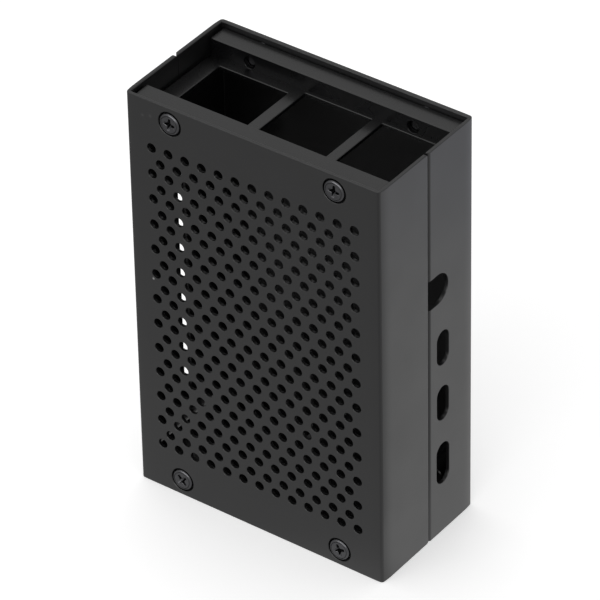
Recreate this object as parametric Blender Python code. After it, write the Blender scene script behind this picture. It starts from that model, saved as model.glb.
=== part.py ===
"""Case for a credit-card-size single board computer, in black folded aluminium.

The case stands on its card-slot end. X runs across its width, with the side that has the power and
display ports at +X. The perforated face looks along -Y, and Z runs up the length of the case to the
network and USB end. The origin is the middle of the bottom of the case. All sizes are in metres.

Two folded covers meet at a seam half way through the depth. Each is screwed at its four corners to
the thick bars of two end frames. Four riveted standoffs in the back cover carry the board.
"""

import math

import bmesh
import bpy
from mathutils import Matrix, Vector

# Outside of the closed case
WIDTH = 0.060
DEPTH = 0.031
HEIGHT = 0.094

# Folded sheet of both covers
SHEET = 0.0010
BEND_RADIUS = 0.0012          # outer radius of the folds
BACK_COVER_DEPTH = 0.0152     # from the back face to the middle of the seam
CORNER_RADIUS = 0.0010        # free corners of the front cover's side walls
FIT = 0.0003                  # clearance between neighbouring pieces

# Perforation of the front face, in staggered rows
HOLE_DIAMETER = 0.0021
HOLE_PITCH_X = 0.004
HOLE_PITCH_Z = 0.006
HOLE_STAGGER_DROP = 0.0002    # the staggered rows lie this far below the middle between the others
HOLE_MARGIN_X = 0.006         # least distance from a side to the first column
HOLE_MARGIN_Z = 0.011         # least distance from an end to the first row
HOLE_SIDES = 8

# Countersunk screws with a cross recess
SCREW_LENGTH = 0.0052
SCREW_HEAD_DIAMETER = 0.0050
SCREW_HEAD_LAND = 0.0002      # straight rim above the cone
SCREW_SHANK_DIAMETER = 0.0025
SCREW_SINK = 0.0001           # the head lies this far below the face
SCREW_SPREAD_X = 0.0388       # distance between the two screws of one end
SCREW_INSET_Z = 0.0037        # from the end of the case
RECESS_SPAN = 0.0025
RECESS_WIDTH = 0.0006
RECESS_DEPTH = 0.0010
RECESS_TAPER = 0.5            # size of the recess at its bottom, as a share of its mouth

# End frames, two lengths of one channel that lie between the covers
BAR_THICKNESS = 0.0042
BAR_DROP = 0.0010             # the bars end this far inside the rim
WEB_DROP = 0.0052             # from the rim to the outside of the web
WEB_THICKNESS = 0.0008
EDGE_BREAK = 0.0002           # bevel along the channel's edges
WINDOW_CHAMFER = 0.0003

# The board, which fills the width of the case and lies on the standoffs of the back cover
BOARD_RIGHT_GAP = 0.0001      # to the wall with the ports
BOARD_LEFT_GAP = 0.0019
BOARD_EDGE_Z = 0.0062         # card-side edge above the bottom of the case
BOARD_STAND = 0.0075          # its underside in front of the back face
BOARD_THICKNESS = 0.0014
BOARD_HOLE_SPAN_Z = 0.058
BOARD_HOLE_INSET = 0.0035     # its holes are this far from its long edges and from the card-side edge

# Windows of the port end, in a row across the web: end margins, ribs between them, and margins to the bars
NETWORK_WINDOW_MARGIN = 0.0038
NETWORK_WINDOW_WIDTH = 0.0166
NETWORK_RIB = 0.00265         # between the network window and the first USB window
USB_RIB = 0.0024              # between the two USB windows, which share what is left of the row
USB_WINDOW_MARGIN = 0.00075
NETWORK_WINDOW_FRONT = 0.0028
NETWORK_WINDOW_BACK = 0.0021
USB_WINDOW_FRONT = 0.0006
USB_WINDOW_BACK = 0.0004

# Card slot of the other end, under the board
CARD_SLOT_WIDTH = 0.0140
CARD_SLOT_HEIGHT = 0.0018
CARD_SLOT_OVERLAP = 0.0002    # how far the slot reaches over the board's edge

# Ports in the right wall: middles above the board's card-side edge, length along Z and width along Y
PORT_STAND = 0.0015           # middle of the ports in front of the board
POWER_PORT_Z = 0.0109
POWER_PORT_LENGTH = 0.0099
POWER_PORT_WIDTH = 0.0043
DISPLAY_PORT_Z = 0.0258
DISPLAY_PORT_PITCH = 0.0135
DISPLAY_PORT_LENGTH = 0.0081
DISPLAY_PORT_WIDTH = 0.0040
AUDIO_PORT_Z = 0.0542
AUDIO_PORT_WIDTH = 0.0069
AUDIO_PORT_STAND = 0.0032     # middle of its round end in front of the board

# Slot for a ribbon cable, shared by the left walls of both covers
RIBBON_SLOT_LENGTH = 0.0522
RIBBON_SLOT_Z = 0.0334        # its middle above the board's card-side edge
RIBBON_SLOT_FRONT = 0.0015    # its share of the front cover, from the seam
RIBBON_SLOT_BACK = 0.0009     # its share of the back cover
RIBBON_SLOT_RADIUS = 0.0005

# Standoffs, riveted through the back cover
STANDOFF_DIAMETER = 0.0050
STANDOFF_BORE = 0.0021
STANDOFF_BORE_DEPTH = 0.0050
RIVET_DIAMETER = 0.0036
RIVET_SINK = 0.0001           # the rivet ends this far below the face

ROUND_SIDES = 12
OVERRUN = 0.001               # how far a cutter runs past the face that it cuts
MERGE = 1e-7

FRONT = -DEPTH / 2
BACK = DEPTH / 2
SEAM = BACK - BACK_COVER_DEPTH
BOARD_UNDERSIDE = BACK - BOARD_STAND
BOARD_TOP = BOARD_UNDERSIDE - BOARD_THICKNESS
BOARD_RIGHT = WIDTH / 2 - SHEET - BOARD_RIGHT_GAP
BOARD_LEFT = -WIDTH / 2 + SHEET + BOARD_LEFT_GAP
FRAME_END = WIDTH / 2 - SHEET - FIT
FRONT_BAR = FRONT + SHEET + FIT + BAR_THICKNESS
BACK_BAR = BACK - SHEET - FIT - BAR_THICKNESS

# Directions of a cut or a turned piece, each with its own third axis
UP = Matrix.Identity(4)
OUT_OF_FRONT = Matrix.Rotation(math.radians(90), 4, "X")
OUT_OF_BACK = Matrix.Rotation(math.radians(-90), 4, "X")
TO_THE_RIGHT = Matrix(((0, 0, 1, 0), (1, 0, 0, 0), (0, 1, 0, 0), (0, 0, 0, 1)))


# General modelling

def clear_scene():
    """Remove what the file starts with."""
    for item in list(bpy.data.objects):
        bpy.data.objects.remove(item, do_unlink=True)


def make_finish(name, colour, roughness, metallic):
    """Return a Principled material."""
    material = bpy.data.materials.new(name)
    material.use_nodes = True
    shader = material.node_tree.nodes["Principled BSDF"]
    shader.inputs["Base Color"].default_value = (*colour, 1.0)
    shader.inputs["Roughness"].default_value = roughness
    shader.inputs["Metallic"].default_value = metallic
    return material


def to_mesh(bm, name, material=None):
    """Turn a bmesh of closed shapes into a mesh whose faces point out, and free it."""
    bmesh.ops.recalc_face_normals(bm, faces=bm.faces)
    mesh = bpy.data.meshes.new(name)
    bm.to_mesh(mesh)
    bm.free()
    if material:
        mesh.materials.append(material)
    return mesh


def shade_round(mesh, sharp_degrees=35):
    """Shade round surfaces smooth and keep sharp edges."""
    mesh.shade_smooth()
    mesh.set_sharp_from_angle(angle=math.radians(sharp_degrees))


def place(name, mesh, at=UP):
    """Put a mesh into the scene as a named object."""
    item = bpy.data.objects.new(name, mesh)
    item.matrix_world = at
    bpy.context.scene.collection.objects.link(item)
    return item


def arc(middle, radius, start, end, steps):
    """Points of an arc between two angles in degrees, both ends included."""
    angles = [math.radians(start + (end - start) * step / steps) for step in range(steps + 1)]
    return [(middle[0] + radius * math.cos(angle), middle[1] + radius * math.sin(angle)) for angle in angles]


def circle(radius, sides):
    """Corners of a round outline, with a flat side at the top."""
    half_side = 180 / sides
    return arc((0.0, 0.0), radius, half_side, 360 - half_side, sides - 1)


def rectangle(low_u, high_u, low_v, high_v):
    """Corners of a rectangle."""
    return [(low_u, low_v), (high_u, low_v), (high_u, high_v), (low_u, high_v)]


def extrude(bm, outline, low, high, at=UP, low_scale=1.0):
    """Extrude an outline along the third axis of at, with its low end scaled about that axis."""
    corners = [bm.verts.new(at @ Vector((u, v, high))) for u, v in outline]
    face = bm.faces.new(corners)
    moved = bmesh.ops.extrude_face_region(bm, geom=[face])["geom"]
    ends = [part for part in moved if isinstance(part, bmesh.types.BMVert)]
    bmesh.ops.translate(bm, verts=ends, vec=at.to_3x3() @ Vector((0.0, 0.0, low - high)))
    if low_scale != 1.0:
        scale = Matrix.Diagonal((low_scale, low_scale, 1.0, 1.0))
        bmesh.ops.transform(bm, verts=ends, matrix=at @ scale @ at.inverted())
    return ends


def turn(bm, profile, at=UP, sides=ROUND_SIDES):
    """Spin a profile of radius and height, which starts and ends on the axis, into a closed shape."""
    before = set(bm.verts)
    points = [bm.verts.new((radius, 0.0, height)) for radius, height in profile]
    edges = [bm.edges.new(pair) for pair in zip(points, points[1:])]
    bmesh.ops.spin(bm, geom=points + edges, axis=(0, 0, 1), cent=(0, 0, 0), angle=math.radians(360),
                   steps=sides, use_merge=True)
    bmesh.ops.remove_doubles(bm, verts=[vert for vert in bm.verts if vert not in before], dist=MERGE)
    bmesh.ops.transform(bm, verts=[vert for vert in bm.verts if vert not in before], matrix=at)


def cut(item, bm, name):
    """Subtract the shapes of a bmesh from an object with a Boolean modifier."""
    cutter = place(name, to_mesh(bm, name))
    cutter.hide_render = True
    cutter.display_type = "WIRE"
    modifier = item.modifiers.new(name, "BOOLEAN")
    modifier.operation = "DIFFERENCE"
    modifier.solver = "EXACT"
    modifier.object = cutter


# Screws and their countersunk holes

def screw_places():
    """Middles of the four screws of one face, as x and z."""
    return [(side * SCREW_SPREAD_X / 2, height)
            for height in (SCREW_INSET_Z, HEIGHT - SCREW_INSET_Z)
            for side in (-1, 1)]


def screw_profile(tip_depth, gap=0.0, above=0.0):
    """Half section of a countersunk screw from tip to head, widened by gap and raised by above."""
    head = SCREW_HEAD_DIAMETER / 2
    shank = SCREW_SHANK_DIAMETER / 2
    cone_top = -SCREW_SINK - SCREW_HEAD_LAND
    cone_end = cone_top - (head - shank)
    return [(0.0, -tip_depth), (shank + gap, -tip_depth), (shank + gap, cone_end), (head + gap, cone_top),
            (head + gap, above - SCREW_SINK), (0.0, above - SCREW_SINK)]


def make_screw_mesh(material):
    """One screw with its head's top at the origin, pointing down, and a cross recess."""
    bm = bmesh.new()
    turn(bm, screw_profile(SCREW_SINK + SCREW_LENGTH))
    blank = place("screw_blank", to_mesh(bm, "screw_blank"))

    bm = bmesh.new()
    long, short = RECESS_SPAN / 2, RECESS_WIDTH / 2
    arm = ((long, -short), (long, short), (short, short))
    cross = []
    for quarter in range(4):
        turned = Matrix.Rotation(math.radians(90 * quarter), 2)
        cross += [tuple(turned @ Vector(corner)) for corner in arm]
    extrude(bm, cross, -SCREW_SINK - RECESS_DEPTH, OVERRUN, low_scale=RECESS_TAPER)
    cut(blank, bm, "recess_cutter")

    bpy.context.view_layer.update()
    evaluated = blank.evaluated_get(bpy.context.evaluated_depsgraph_get())
    mesh = bpy.data.meshes.new_from_object(evaluated)
    mesh.name = "countersunk_screw"
    mesh.materials.clear()
    mesh.materials.append(material)
    shade_round(mesh)
    for helper in ("screw_blank", "recess_cutter"):
        bpy.data.objects.remove(bpy.data.objects[helper], do_unlink=True)
    return mesh


def make_screws(material):
    """Four screws in the front face and four in the back face, which share one mesh."""
    mesh = make_screw_mesh(material)
    for side, face_y, facing in (("front", FRONT, OUT_OF_FRONT), ("back", BACK, OUT_OF_BACK)):
        for number, (x, z) in enumerate(screw_places(), start=1):
            place(f"{side}_screw_{number}", mesh, Matrix.Translation((x, face_y, z)) @ facing)


def add_screw_holes(bm, face_y, facing):
    """Cutters for one face's screws, through the sheet and the bars behind it."""
    through = SHEET + FIT + BAR_THICKNESS + OVERRUN
    for x, z in screw_places():
        turn(bm, screw_profile(through, FIT, OVERRUN), Matrix.Translation((x, face_y, z)) @ facing)


# Covers

def cover_section(face_y, edge_y):
    """Section of a folded cover across X and Y, a U from one free edge round to the other."""
    inward = 1 if edge_y > face_y else -1
    half = WIDTH / 2
    inner_radius = max(BEND_RADIUS - SHEET, MERGE)
    fold_x = half - SHEET - inner_radius
    fold_y = face_y + inward * (SHEET + inner_radius)
    outer = arc((fold_x, fold_y), SHEET + inner_radius, 0, -90 * inward, 4)
    inner = arc((fold_x, fold_y), inner_radius, -90 * inward, 0, 2)
    right_outside = [(half, edge_y)] + outer
    right_inside = inner + [(half - SHEET, edge_y)]
    left_outside = [(-x, y) for x, y in reversed(right_outside)]
    left_inside = [(-x, y) for x, y in reversed(right_inside)]
    return right_outside + left_outside + left_inside + right_inside


def make_cover(name, face_y, edge_y, material):
    """A folded cover over the whole height of the case."""
    bm = bmesh.new()
    extrude(bm, cover_section(face_y, edge_y), 0.0, HEIGHT)
    mesh = to_mesh(bm, name, material)
    shade_round(mesh, 20)
    return place(name, mesh)


def hole_places():
    """Middles of the perforation's holes, as x and z, in rows that are staggered by half a pitch."""
    slack = HOLE_PITCH_X / 100
    columns = int((WIDTH - 2 * HOLE_MARGIN_X + slack) / HOLE_PITCH_X)
    rows = int((HEIGHT - 2 * HOLE_MARGIN_Z + slack) / HOLE_PITCH_Z)
    places = []
    for stagger in (0, 1):
        for column in range(columns + 1 - stagger):
            for row in range(rows + 1 - stagger):
                places.append(((column + stagger / 2 - columns / 2) * HOLE_PITCH_X,
                               HEIGHT / 2 + (row + stagger / 2 - rows / 2) * HOLE_PITCH_Z
                               - stagger * HOLE_STAGGER_DROP))
    return places


def ribbon_notch(inward_v):
    """Outline across Y and Z of one cover's share of the ribbon slot, open towards the seam."""
    share = RIBBON_SLOT_FRONT if inward_v < 0 else RIBBON_SLOT_BACK
    radius = min(RIBBON_SLOT_RADIUS, share / 2)
    low = BOARD_EDGE_Z + RIBBON_SLOT_Z - RIBBON_SLOT_LENGTH / 2
    high = low + RIBBON_SLOT_LENGTH
    inner = SEAM + inward_v * (share - radius)
    side_angle = 90 - 90 * inward_v
    turn_angle = 90 * inward_v
    upper_round = arc((inner, high - radius), radius, side_angle + turn_angle, side_angle, 3)
    lower_round = arc((inner, low + radius), radius, side_angle, side_angle - turn_angle, 3)
    open_end = SEAM - inward_v * OVERRUN
    return [(open_end, high)] + upper_round + lower_round + [(open_end, low)]


def add_ribbon_notch(bm, inward_v):
    """Cutter for the ribbon slot in the left wall of one cover."""
    outside = -WIDTH / 2
    extrude(bm, ribbon_notch(inward_v), outside - OVERRUN, outside + SHEET + OVERRUN, TO_THE_RIGHT)


def add_corner_rounds(bm, edge_y):
    """Cutters that round the free corners of the front cover's side walls."""
    inner = edge_y - CORNER_RADIUS
    outer = edge_y + OVERRUN
    for end, inward in ((HEIGHT, -1), (0.0, 1)):
        middle = end + inward * CORNER_RADIUS
        beyond = end - inward * OVERRUN
        rounding = arc((inner, middle), CORNER_RADIUS, -90 * inward, 0, 4)
        outline = [(outer, beyond), (inner, beyond)] + rounding + [(outer, middle)]
        for side in (-1, 1):
            wall = side * (WIDTH / 2 - SHEET / 2)
            reach = SHEET / 2 + OVERRUN
            extrude(bm, outline, wall - reach, wall + reach, TO_THE_RIGHT)


def make_front_cover(material):
    """The perforated cover, with screw holes, rounded free corners and its share of the ribbon slot."""
    edge = SEAM - FIT / 2
    cover = make_cover("front_cover", FRONT, edge, material)
    bm = bmesh.new()
    outline = circle(HOLE_DIAMETER / 2, HOLE_SIDES)
    for x, z in hole_places():
        extrude(bm, outline, -SHEET - OVERRUN, OVERRUN, Matrix.Translation((x, FRONT, z)) @ OUT_OF_FRONT)
    add_screw_holes(bm, FRONT, OUT_OF_FRONT)
    add_ribbon_notch(bm, -1)
    add_corner_rounds(bm, edge)
    cut(cover, bm, "front_cover_cutter")
    return cover


def port_slot(middle_z, length, width):
    """Outline across Y and Z of a slot with round ends."""
    middle_y = BOARD_TOP - PORT_STAND
    radius = width / 2
    reach = length / 2 - radius
    steps = ROUND_SIDES // 2
    return (arc((middle_y, middle_z + reach), radius, 0, 180, steps)
            + arc((middle_y, middle_z - reach), radius, 180, 360, steps))


def audio_notch():
    """Outline across Y and Z of the audio port's notch, open towards the seam."""
    middle = (BOARD_TOP - AUDIO_PORT_STAND, BOARD_EDGE_Z + AUDIO_PORT_Z)
    radius = AUDIO_PORT_WIDTH / 2
    open_end = SEAM - OVERRUN
    return ([(open_end, middle[1] - radius)]
            + arc(middle, radius, -90, 90, ROUND_SIDES // 2)
            + [(open_end, middle[1] + radius)])


def standoff_places():
    """Middles of the standoffs under the board's holes, as x and z."""
    first_row = BOARD_EDGE_Z + BOARD_HOLE_INSET
    return [(x, z)
            for z in (first_row, first_row + BOARD_HOLE_SPAN_Z)
            for x in (BOARD_LEFT + BOARD_HOLE_INSET, BOARD_RIGHT - BOARD_HOLE_INSET)]


def make_back_cover(material):
    """The cover with the side ports, its share of the ribbon slot, screw holes and rivet holes."""
    cover = make_cover("back_cover", BACK, SEAM + FIT / 2, material)
    bm = bmesh.new()
    first_display = BOARD_EDGE_Z + DISPLAY_PORT_Z
    outlines = [
        port_slot(BOARD_EDGE_Z + POWER_PORT_Z, POWER_PORT_LENGTH, POWER_PORT_WIDTH),
        port_slot(first_display, DISPLAY_PORT_LENGTH, DISPLAY_PORT_WIDTH),
        port_slot(first_display + DISPLAY_PORT_PITCH, DISPLAY_PORT_LENGTH, DISPLAY_PORT_WIDTH),
        audio_notch(),
    ]
    outside = WIDTH / 2
    for outline in outlines:
        extrude(bm, outline, outside - SHEET - OVERRUN, outside + OVERRUN, TO_THE_RIGHT)
    for x, z in standoff_places():
        extrude(bm, circle(RIVET_DIAMETER / 2 + FIT, ROUND_SIDES), -SHEET - OVERRUN, OVERRUN,
                Matrix.Translation((x, BACK, z)) @ OUT_OF_BACK)
    add_screw_holes(bm, BACK, OUT_OF_BACK)
    add_ribbon_notch(bm, 1)
    cut(cover, bm, "back_cover_cutter")
    return cover


# End frames

def make_end_frame(name, rim_z, inward, material):
    """A length of channel between the covers, with a screw bar at the front and one at the back."""
    front_out = FRONT_BAR - BAR_THICKNESS
    back_out = BACK_BAR + BAR_THICKNESS
    bar_end = rim_z + inward * BAR_DROP
    web_out = rim_z + inward * WEB_DROP
    web_in = web_out + inward * WEB_THICKNESS
    section = [(front_out, web_in), (back_out, web_in), (back_out, bar_end), (BACK_BAR, bar_end),
               (BACK_BAR, web_out), (FRONT_BAR, web_out), (FRONT_BAR, bar_end), (front_out, bar_end)]
    bm = bmesh.new()
    extrude(bm, section, -FRAME_END, FRAME_END, TO_THE_RIGHT)
    frame = place(name, to_mesh(bm, name, material))
    bevel = frame.modifiers.new("broken_edges", "BEVEL")
    bevel.width = EDGE_BREAK
    bevel.segments = 1
    bevel.limit_method = "ANGLE"
    bevel.angle_limit = math.radians(40)
    bm = bmesh.new()
    add_screw_holes(bm, FRONT, OUT_OF_FRONT)
    add_screw_holes(bm, BACK, OUT_OF_BACK)
    cut(frame, bm, name + "_screw_cutter")
    return frame, web_out


def add_window(bm, left, right, near, far, web_out, inward):
    """Cutter for a window through a web, with a chamfer round its outer side."""
    def ring(grow, height):
        outline = rectangle(left - grow, right + grow, near - grow, far + grow)
        return [bm.verts.new((x, y, height)) for x, y in outline]

    rings = [ring(0.0, web_out + inward * (WEB_THICKNESS + OVERRUN)),
             ring(0.0, web_out + inward * WINDOW_CHAMFER),
             ring(WINDOW_CHAMFER, web_out),
             ring(WINDOW_CHAMFER, web_out - inward * OVERRUN)]
    bm.faces.new(rings[0])
    bm.faces.new(rings[-1])
    for lower, upper in zip(rings, rings[1:]):
        for side in range(4):
            after = (side + 1) % 4
            bm.faces.new((lower[side], lower[after], upper[after], upper[side]))


def make_end_frame_ports(material):
    """The end frame with the network window and the two USB windows."""
    inward = -1
    frame, web_out = make_end_frame("end_frame_ports", HEIGHT, inward, material)
    network_left = -FRAME_END + NETWORK_WINDOW_MARGIN
    network_right = network_left + NETWORK_WINDOW_WIDTH
    usb_left = network_right + NETWORK_RIB
    usb_right = FRAME_END - USB_WINDOW_MARGIN
    usb_width = (usb_right - usb_left - USB_RIB) / 2
    usb_near, usb_far = FRONT_BAR + USB_WINDOW_FRONT, BACK_BAR - USB_WINDOW_BACK
    bm = bmesh.new()
    add_window(bm, network_left, network_right,
               FRONT_BAR + NETWORK_WINDOW_FRONT, BACK_BAR - NETWORK_WINDOW_BACK, web_out, inward)
    add_window(bm, usb_left, usb_left + usb_width, usb_near, usb_far, web_out, inward)
    add_window(bm, usb_right - usb_width, usb_right, usb_near, usb_far, web_out, inward)
    cut(frame, bm, "port_window_cutter")


def make_end_frame_card(material):
    """The end frame with the memory card's slot."""
    inward = 1
    frame, web_out = make_end_frame("end_frame_card", 0.0, inward, material)
    middle_x = (BOARD_LEFT + BOARD_RIGHT) / 2
    slot_near = BOARD_UNDERSIDE - CARD_SLOT_OVERLAP
    bm = bmesh.new()
    add_window(bm, middle_x - CARD_SLOT_WIDTH / 2, middle_x + CARD_SLOT_WIDTH / 2,
               slot_near, slot_near + CARD_SLOT_HEIGHT, web_out, inward)
    cut(frame, bm, "card_slot_cutter")


# Standoffs

def make_standoffs(material):
    """Threaded spacers from the back cover to the underside of the board."""
    top = -BOARD_STAND
    bore_end = top + STANDOFF_BORE_DEPTH
    shoulder = -SHEET - FIT
    bore, body, rivet = STANDOFF_BORE / 2, STANDOFF_DIAMETER / 2, RIVET_DIAMETER / 2
    profile = [(0.0, bore_end), (bore, bore_end), (bore, top), (body, top), (body, shoulder),
               (rivet, shoulder), (rivet, -RIVET_SINK), (0.0, -RIVET_SINK)]
    bm = bmesh.new()
    turn(bm, profile)
    mesh = to_mesh(bm, "standoff", material)
    shade_round(mesh)
    for number, (x, z) in enumerate(standoff_places(), start=1):
        place(f"standoff_{number}", mesh, Matrix.Translation((x, BACK, z)) @ OUT_OF_BACK)


def main():
    """Build the whole case."""
    clear_scene()
    sheet_black = make_finish("black_anodised_sheet", (0.020, 0.020, 0.022), 0.38, 0.6)
    frame_black = make_finish("black_anodised_channel", (0.018, 0.018, 0.019), 0.34, 0.6)
    screw_black = make_finish("black_zinc_screw", (0.030, 0.030, 0.031), 0.35, 0.8)
    make_front_cover(sheet_black)
    make_back_cover(sheet_black)
    make_end_frame_ports(frame_black)
    make_end_frame_card(frame_black)
    make_screws(screw_black)
    make_standoffs(frame_black)


main()
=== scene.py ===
"""Looks of a black anodised aluminium case for a credit-card-size single board computer.

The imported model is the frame. Each of its pieces is built again here with its fine shape: press-brake
folds that ease into the flats, round punched holes with broken edges, chamfered windows, tapped holes,
and screws with threads and a cross recess. All lengths are in metres.
"""

import logging
import math
from dataclasses import dataclass, field
from enum import Enum
from typing import Any, Iterable, Sequence

import bmesh
import bpy
from mathutils import Matrix, Vector


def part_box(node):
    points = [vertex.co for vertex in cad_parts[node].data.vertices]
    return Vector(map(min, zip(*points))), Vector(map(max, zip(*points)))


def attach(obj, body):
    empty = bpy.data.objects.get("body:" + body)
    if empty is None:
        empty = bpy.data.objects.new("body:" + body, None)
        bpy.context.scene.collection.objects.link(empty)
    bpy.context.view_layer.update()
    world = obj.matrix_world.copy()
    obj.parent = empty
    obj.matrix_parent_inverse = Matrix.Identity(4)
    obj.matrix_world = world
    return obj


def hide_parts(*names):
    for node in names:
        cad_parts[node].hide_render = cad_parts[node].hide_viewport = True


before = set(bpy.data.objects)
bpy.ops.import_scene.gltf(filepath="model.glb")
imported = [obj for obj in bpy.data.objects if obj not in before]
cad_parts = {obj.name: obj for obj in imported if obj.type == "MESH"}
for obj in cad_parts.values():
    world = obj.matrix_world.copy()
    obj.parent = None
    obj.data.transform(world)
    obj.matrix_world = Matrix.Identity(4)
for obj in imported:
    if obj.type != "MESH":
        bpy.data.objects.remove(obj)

LOG = logging.getLogger("case")
MM = 0.001
MERGE = 1e-7  # corners nearer than this are one
OVERRUN = 1.0 * MM  # how far a cutter runs past the sheet that it cuts
MITRE_LIMIT = 0.5  # least cosine that a grown corner is drawn out by
MARK_CORE = 0.4  # share of a mark's radius within which it shows in full

Point = tuple[float, float]
Outline = list[Point]
Ring = tuple[float, float]

# Brings an outline across Y and Z, and its axis to +X
TO_THE_RIGHT = Matrix(((0, 0, 1, 0), (1, 0, 0, 0), (0, 1, 0, 0), (0, 0, 0, 1)))


def by_number(stem: str) -> list[str]:
    """Names of four CAD nodes that differ in their number."""
    return [f"{stem}_{number}" for number in range(1, 5)]


class Face(Enum):
    """The two faces that carry a cover, with the turn that points a screw's head out of each."""

    FRONT = 90.0
    BACK = -90.0

    @property
    def inward(self) -> int:
        """Sign along Y from this face into the case."""
        return 1 if self is Face.FRONT else -1

    @property
    def label(self) -> str:
        """Word that the nodes' names use for this face."""
        return self.name.lower()

    def facing(self) -> Matrix:
        """Turn that brings +Z to the outward normal of this face."""
        return Matrix.Rotation(math.radians(self.value), 4, "X")


class End(Enum):
    """The two ends that carry an end frame, with the sign along Z from the rim into the case."""

    PORTS = -1
    CARD = 1


# Node trees

def linear(colour: str) -> tuple[float, float, float, float]:
    """Turn a colour as an artist writes it into the linear values of the shaders, by the sRGB curve.

    Args:
        colour: sRGB colour as a hash and six hex digits.

    Returns:
        Linear red, green and blue, and an alpha of 1.
    """
    channels = [int(colour[start:start + 2], 16) / 255 for start in (1, 3, 5)]
    curved = [c / 12.92 if c <= 0.04045 else ((c + 0.055) / 1.055) ** 2.4 for c in channels]
    return (curved[0], curved[1], curved[2], 1.0)


def add_node(tree: bpy.types.NodeTree, kind: str, settings: dict[str, Any] | None = None,
             inputs: dict[str | int, Any] | None = None) -> bpy.types.Node:
    """Add a node, set its properties, and fill its inputs with values or links.

    Args:
        tree: Tree that gets the node.
        kind: Blender's identifier of the node.
        settings: Properties of the node by name.
        inputs: Values or output sockets by the input's name or number.

    Returns:
        The new node.
    """
    node = tree.nodes.new(kind)
    for name, value in (settings or {}).items():
        setattr(node, name, value)
    for key, value in (inputs or {}).items():
        if isinstance(value, bpy.types.NodeSocket):
            tree.links.new(value, node.inputs[key])
        else:
            node.inputs[key].default_value = value
    return node


def empty_tree(owner: bpy.types.Material | bpy.types.World) -> bpy.types.NodeTree:
    """Give a material or the world an empty node tree.

    Args:
        owner: Material or world.

    Returns:
        Its tree.
    """
    owner.use_nodes = True
    owner.node_tree.nodes.clear()
    return owner.node_tree


def geometry_tree(name: str, sockets: dict[str, str]) -> tuple[bpy.types.NodeTree, bpy.types.Node]:
    """Start a Geometry Nodes tree that takes a geometry and named values and gives a geometry.

    Args:
        name: Name of the tree.
        sockets: Kind of socket of each input by its name, such as Float.

    Returns:
        The tree and its group input node.
    """
    tree = bpy.data.node_groups.new(name, "GeometryNodeTree")
    tree.interface.new_socket("Geometry", in_out="INPUT", socket_type="NodeSocketGeometry")
    for label, kind in sockets.items():
        tree.interface.new_socket(label, in_out="INPUT", socket_type="NodeSocket" + kind)
    tree.interface.new_socket("Geometry", in_out="OUTPUT", socket_type="NodeSocketGeometry")
    return tree, add_node(tree, "NodeGroupInput")


def close_tree(tree: bpy.types.NodeTree, geometry: bpy.types.NodeSocket,
               material: bpy.types.NodeSocket) -> None:
    """End a tree with Realize Instances and Set Material.

    Args:
        tree: Tree to end.
        geometry: Socket with the finished geometry.
        material: Socket with its material.
    """
    real = add_node(tree, "GeometryNodeRealizeInstances", inputs={"Geometry": geometry})
    dressed = add_node(tree, "GeometryNodeSetMaterial",
                       inputs={"Geometry": real.outputs[0], "Material": material})
    add_node(tree, "NodeGroupOutput", inputs={0: dressed.outputs[0]})


def run_tree(item: bpy.types.Object, tree: bpy.types.NodeTree, values: dict[str, Any]) -> None:
    """Run a tree on an object and keep the result as its plain mesh.

    Args:
        item: Object whose mesh the tree takes and replaces.
        tree: Tree to run.
        values: Value of each input by its name.
    """
    modifier = item.modifiers.new(tree.name, "NODES")
    modifier.node_group = tree
    for socket in tree.interface.items_tree:
        if socket.in_out == "INPUT" and socket.name in values:
            modifier[socket.identifier] = values[socket.name]
    settle(item)


# Meshes

def add_object(name: str, data: bpy.types.ID) -> bpy.types.Object:
    """Put an object with this data into the scene.

    Args:
        name: Name of the object.
        data: Its mesh, camera or lamp.

    Returns:
        The object, at the origin.
    """
    item = bpy.data.objects.new(name, data)
    bpy.context.scene.collection.objects.link(item)
    return item


def settle(item: bpy.types.Object) -> None:
    """Replace an object's mesh by what its modifiers make of it, and remove them.

    Args:
        item: Object to settle.
    """
    bpy.context.view_layer.update()
    evaluated = item.evaluated_get(bpy.context.evaluated_depsgraph_get())
    mesh = bpy.data.meshes.new_from_object(evaluated)
    item.modifiers.clear()
    item.data = mesh
    mesh.name = item.name


def new_piece(name: str, bm: bmesh.types.BMesh,
              material: bpy.types.Material | None = None) -> bpy.types.Object:
    """Put a bmesh of closed shapes into the scene as an object, with its faces pointing out.

    Args:
        name: Name of the object.
        bm: Its shapes, which are freed.
        material: Its material, which a cutter has no need of.

    Returns:
        The object, at the origin.
    """
    bmesh.ops.remove_doubles(bm, verts=bm.verts, dist=MERGE)
    bmesh.ops.recalc_face_normals(bm, faces=bm.faces)
    mesh = bpy.data.meshes.new(name)
    bm.to_mesh(mesh)
    bm.free()
    if material:
        mesh.materials.append(material)
    return add_object(name, mesh)


def cut(item: bpy.types.Object, bm: bmesh.types.BMesh) -> None:
    """Subtract shapes from an object and settle it.

    Args:
        item: Object to cut.
        bm: Cutting shapes, which are freed.
    """
    cutter = new_piece(item.name + "_cutter", bm)
    modifier = item.modifiers.new("cut", "BOOLEAN")
    modifier.operation = "DIFFERENCE"
    modifier.solver = "EXACT"
    modifier.object = cutter
    settle(item)
    bpy.data.objects.remove(cutter, do_unlink=True)


def shade_round(item: bpy.types.Object, sharp_degrees: float = 28.0) -> None:
    """Shade round surfaces smooth, and keep flat faces flat and sharp edges sharp.

    Args:
        item: Object to shade.
        sharp_degrees: Least turn of a sharp edge.
    """
    item.data.shade_smooth()
    item.data.set_sharp_from_angle(angle=math.radians(sharp_degrees))
    modifier = item.modifiers.new("flat_faces", "WEIGHTED_NORMAL")
    modifier.keep_sharp = True
    settle(item)


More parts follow.
